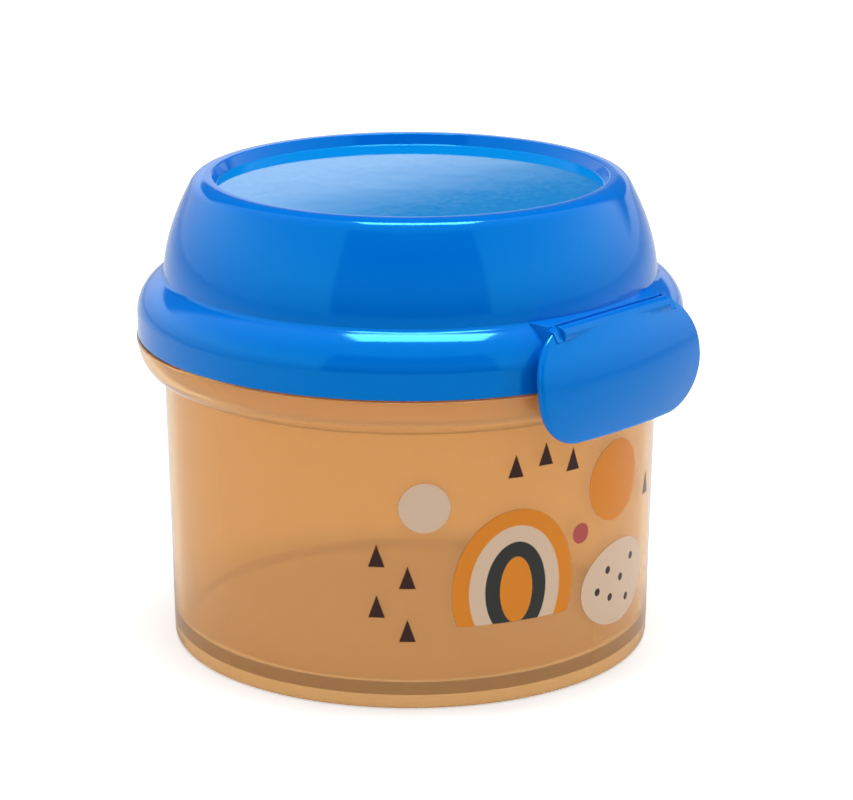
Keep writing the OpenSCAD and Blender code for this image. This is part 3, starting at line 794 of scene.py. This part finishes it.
bpy.ops.object.select_all(action="DESELECT")
bpy.ops.mesh.primitive_plane_add(size=12, location=(0, 0, 0))
floor = bpy.context.object
floor.name = "studio_floor"
floor_paint = bpy.data.materials.new("floor_paint")
floor_paint.use_nodes = True
tree = floor_paint.node_tree
shader = tree.nodes["Principled BSDF"]
shader.inputs["Base Color"].default_value = (0.86, 0.86, 0.86, 1)
shader.inputs["Roughness"].default_value = 0.7
shader.inputs["Specular IOR Level"].default_value = 0.2
shader.inputs["Emission Color"].default_value = (1, 1, 1, 1)
rays = tree.nodes.new("ShaderNodeLightPath")
seen = math_node(tree, "MAXIMUM", math_node(tree, "MULTIPLY", rays.outputs["Is Camera Ray"], 0.5),
                 math_node(tree, "MULTIPLY", rays.outputs["Is Transmission Ray"], 0.6))
link(tree, seen, shader.inputs["Emission Strength"])
floor.data.materials.append(floor_paint)

world = bpy.data.worlds.new("studio_world")
world.use_nodes = True
bpy.context.scene.world = world
tree = world.node_tree
surround = tree.nodes["Background"]
surround.inputs["Color"].default_value = (1, 1, 1, 1)
rays = tree.nodes.new("ShaderNodeLightPath")
place = tree.nodes.new("ShaderNodeTexCoord")


def vector_node(tree, how, a, b=(0, 0, 0)):
    """A Vector Math node on two sockets or vectors."""
    node = tree.nodes.new("ShaderNodeVectorMath")
    node.operation = how
    for socket, value in zip(node.inputs, (a, b)):
        if isinstance(value, bpy.types.NodeSocket):
            link(tree, value, socket)
        else:
            socket.default_value = value
    return node


def ramp_node(tree, value, low, high, start, end):
    """A smooth step from one value to another while the input goes from low to high."""
    node = tree.nodes.new("ShaderNodeMapRange")
    node.interpolation_type = "SMOOTHSTEP"
    link(tree, value, node.inputs["Value"])
    for name, number in (("From Min", low), ("From Max", high), ("To Min", start), ("To Max", end)):
        node.inputs[name].default_value = number
    return node.outputs["Result"]


# Which way a point of the studio lies: towards the camera, to its right, and up
outlook = place.outputs["Generated"]
flat_outlook = vector_node(tree, "MULTIPLY", outlook, (1, 1, 0)).outputs[0]
toward = vector_node(tree, "DOT_PRODUCT", vector_node(tree, "NORMALIZE", flat_outlook).outputs[0],
                     (math.sin(camera_turn), -math.cos(camera_turn), 0)).outputs["Value"]
aside = vector_node(tree, "DOT_PRODUCT", outlook,
                    (math.cos(camera_turn), math.sin(camera_turn), 0)).outputs["Value"]
axes = tree.nodes.new("ShaderNodeSeparateXYZ")
link(tree, outlook, axes.inputs[0])
up = axes.outputs["Z"]

# How bright the walls are, and how much each part of the studio takes off that
wall_light, skirt_loss, gap_loss, high_loss, behind_share = 1.15, 0.4, 0.85, 0.5, 0.95
skirt = ramp_node(tree, up, 0, 0.3, skirt_loss, 0)
gap = math_node(tree, "MULTIPLY", ramp_node(tree, toward, 0.79, 0.82, 0, 1),
                ramp_node(tree, up, 0.62, 0.75, 1, 0))
high = ramp_node(tree, up, 0.3, 0.7, 0, 1)
slope = math_node(tree, "ADD", up, math_node(tree, "MULTIPLY", aside, 0.2))
behind = math_node(tree, "MULTIPLY", ramp_node(tree, toward, -0.6, -0.75, 0, 1),
                   ramp_node(tree, slope, 0.201, 0.222, 0, 1))
walls = math_node(tree, "SUBTRACT", wall_light, skirt)
walls = math_node(tree, "SUBTRACT", walls, math_node(tree, "MULTIPLY", gap, gap_loss))
walls = math_node(tree, "SUBTRACT", walls, math_node(tree, "MULTIPLY", high, high_loss))
left = math_node(tree, "SUBTRACT", 1, math_node(tree, "MULTIPLY", behind, behind_share))
walls = math_node(tree, "MULTIPLY", walls, left)
seen = math_node(tree, "MAXIMUM", rays.outputs["Is Camera Ray"],
                 rays.outputs["Is Transmission Ray"])
strength = math_node(tree, "MAXIMUM", walls, seen)
link(tree, strength, surround.inputs["Strength"])

bpy.ops.object.light_add(type="AREA", location=(0.03, -0.03, 1.05))
lamp = bpy.context.object
lamp.name = "overhead_box"
lamp.rotation_euler = (0, 0, camera_turn)
lamp.data.shape = "RECTANGLE"
lamp.data.size, lamp.data.size_y = 0.55, 0.28
lamp.data.energy = 7.5

bpy.context.scene.view_settings.view_transform = "Standard"
